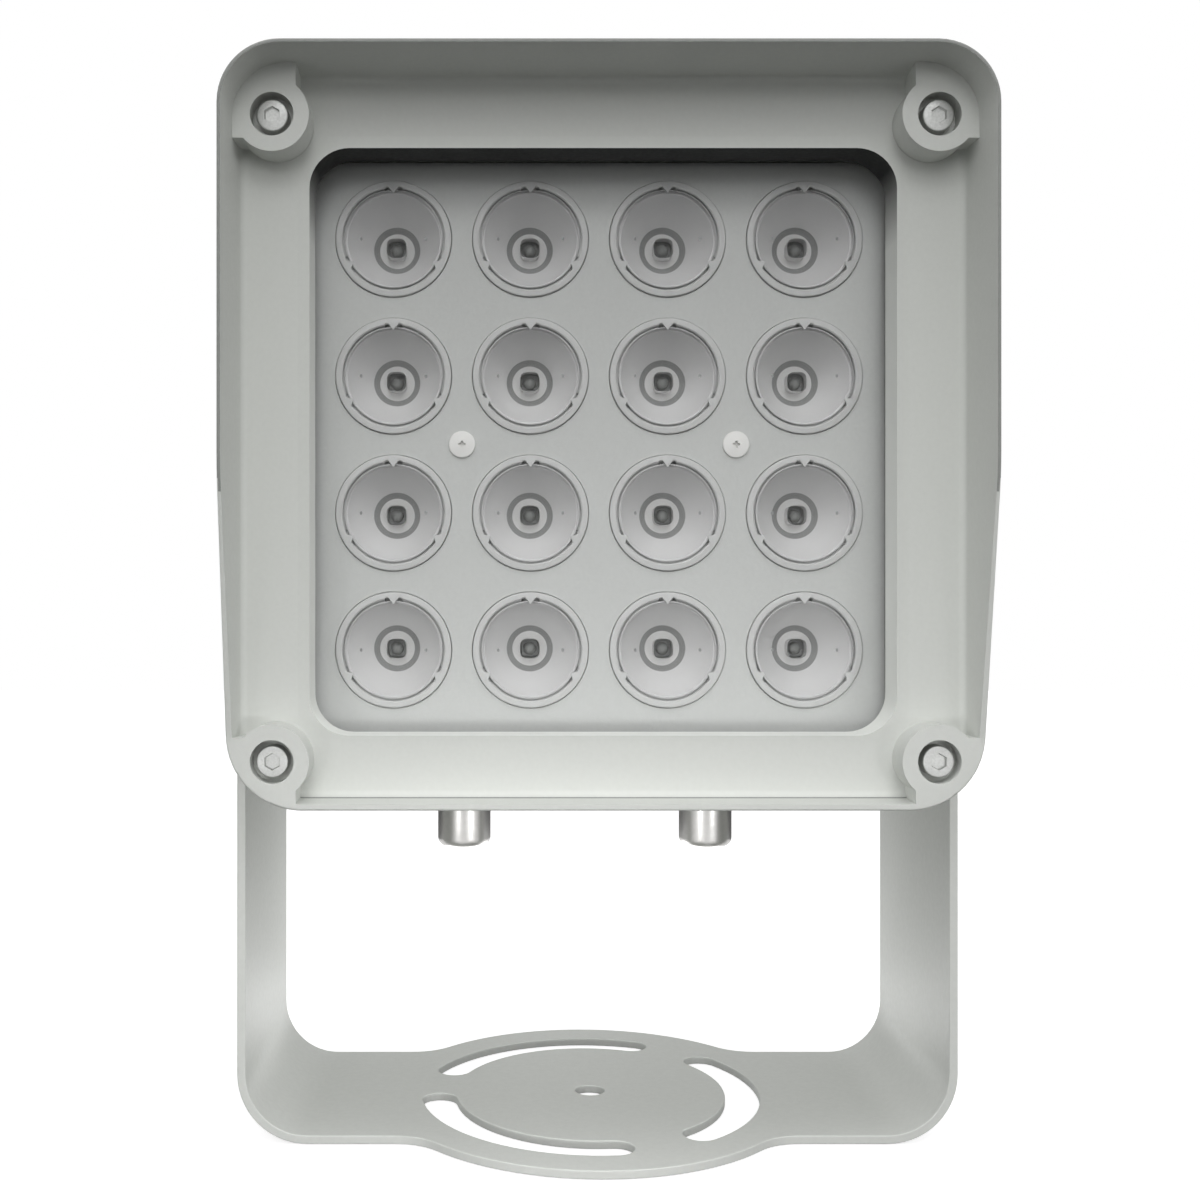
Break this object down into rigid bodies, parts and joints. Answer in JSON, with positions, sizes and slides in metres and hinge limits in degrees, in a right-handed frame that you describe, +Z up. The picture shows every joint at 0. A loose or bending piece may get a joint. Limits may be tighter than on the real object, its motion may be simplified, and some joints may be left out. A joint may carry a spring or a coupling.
{
  "type": "infrared illuminator",
  "caption": "Square infrared floodlight head with a hooded bezel and a grid of lenses, tilting in a folded U bracket with a slotted round base.",
  "frame": {"origin": "centre of the bracket's base disc, on its underside", "axes": "+Z up; +X to the right seen from the front; +Y to the rear, so the light faces -Y"},
  "size_m": [0.2202, 0.1465, 0.2982],
  "materials": {
    "bracket_paint": "satin",
    "casting_paint": "satin",
    "gasket_rubber": "matte",
    "window_glass": "polished",
    "plate_plastic": "matte",
    "white_nylon": "satin",
    "board_aluminium": "satin",
    "emitter_resin": "gloss",
    "zinc_steel": "satin",
    "stainless_steel": "satin",
    "circuit_board": "satin",
    "wound_coil": "satin",
    "capacitor_sleeve": "satin",
    "terminal_plastic": "satin",
    "friction_plastic": "matte",
    "nickel_brass": "gloss",
    "gland_rubber": "matte",
    "lens_acrylic": "polished",
    "holder_plastic": "satin"
  },
  "bodies": {
    "bracket": {"bracket": "bracket_paint"},
    "head": {"front_cover": "casting_paint", "rear_housing": "casting_paint", "rear_cover": "casting_paint", "cover_gasket": "gasket_rubber", "rear_gasket": "gasket_rubber", "window_gasket": "gasket_rubber", "window_glass": "window_glass", "lens_plate": "plate_plastic", "plate_screws": "white_nylon", "led_board": "board_aluminium", "led_emitters": "emitter_resin", "board_screws": "zinc_steel", "cover_screws": "stainless_steel", "rear_screws": "stainless_steel", "driver_board": "circuit_board", "driver_coil": "wound_coil", "driver_capacitors": "capacitor_sleeve", "terminal_block": "terminal_plastic", "pivot_bolts": "stainless_steel", "pivot_washers": "stainless_steel", "pivot_discs": "friction_plastic", "gland_body_left": "nickel_brass", "gland_body_right": "nickel_brass", "gland_nut_left": "nickel_brass", "gland_nut_right": "nickel_brass", "gland_seal_left": "gland_rubber", "gland_seal_right": "gland_rubber", "lens_01": "lens_acrylic", "lens_holder_01": "holder_plastic", "lens_02": "lens_acrylic", "lens_holder_02": "holder_plastic", "lens_03": "lens_acrylic", "lens_holder_03": "holder_plastic", "lens_04": "lens_acrylic", "lens_holder_04": "holder_plastic", "lens_05": "lens_acrylic", "lens_holder_05": "holder_plastic", "lens_06": "lens_acrylic", "lens_holder_06": "holder_plastic", "lens_07": "lens_acrylic", "lens_holder_07": "holder_plastic", "lens_08": "lens_acrylic", "lens_holder_08": "holder_plastic", "lens_09": "lens_acrylic", "lens_holder_09": "holder_plastic", "lens_10": "lens_acrylic", "lens_holder_10": "holder_plastic", "lens_11": "lens_acrylic", "lens_holder_11": "holder_plastic", "lens_12": "lens_acrylic", "lens_holder_12": "holder_plastic", "lens_13": "lens_acrylic", "lens_holder_13": "holder_plastic", "lens_14": "lens_acrylic", "lens_holder_14": "holder_plastic", "lens_15": "lens_acrylic", "lens_holder_15": "holder_plastic", "lens_16": "lens_acrylic", "lens_holder_16": "holder_plastic"}
  },
  "joints": [
    {"name": "head_tilt", "type": "hinge", "parent": "bracket", "child": "head", "pos_m": [0, 0, 0.1992], "axis": [1, 0, 0], "range_deg": [-90, 90]}
  ]
}
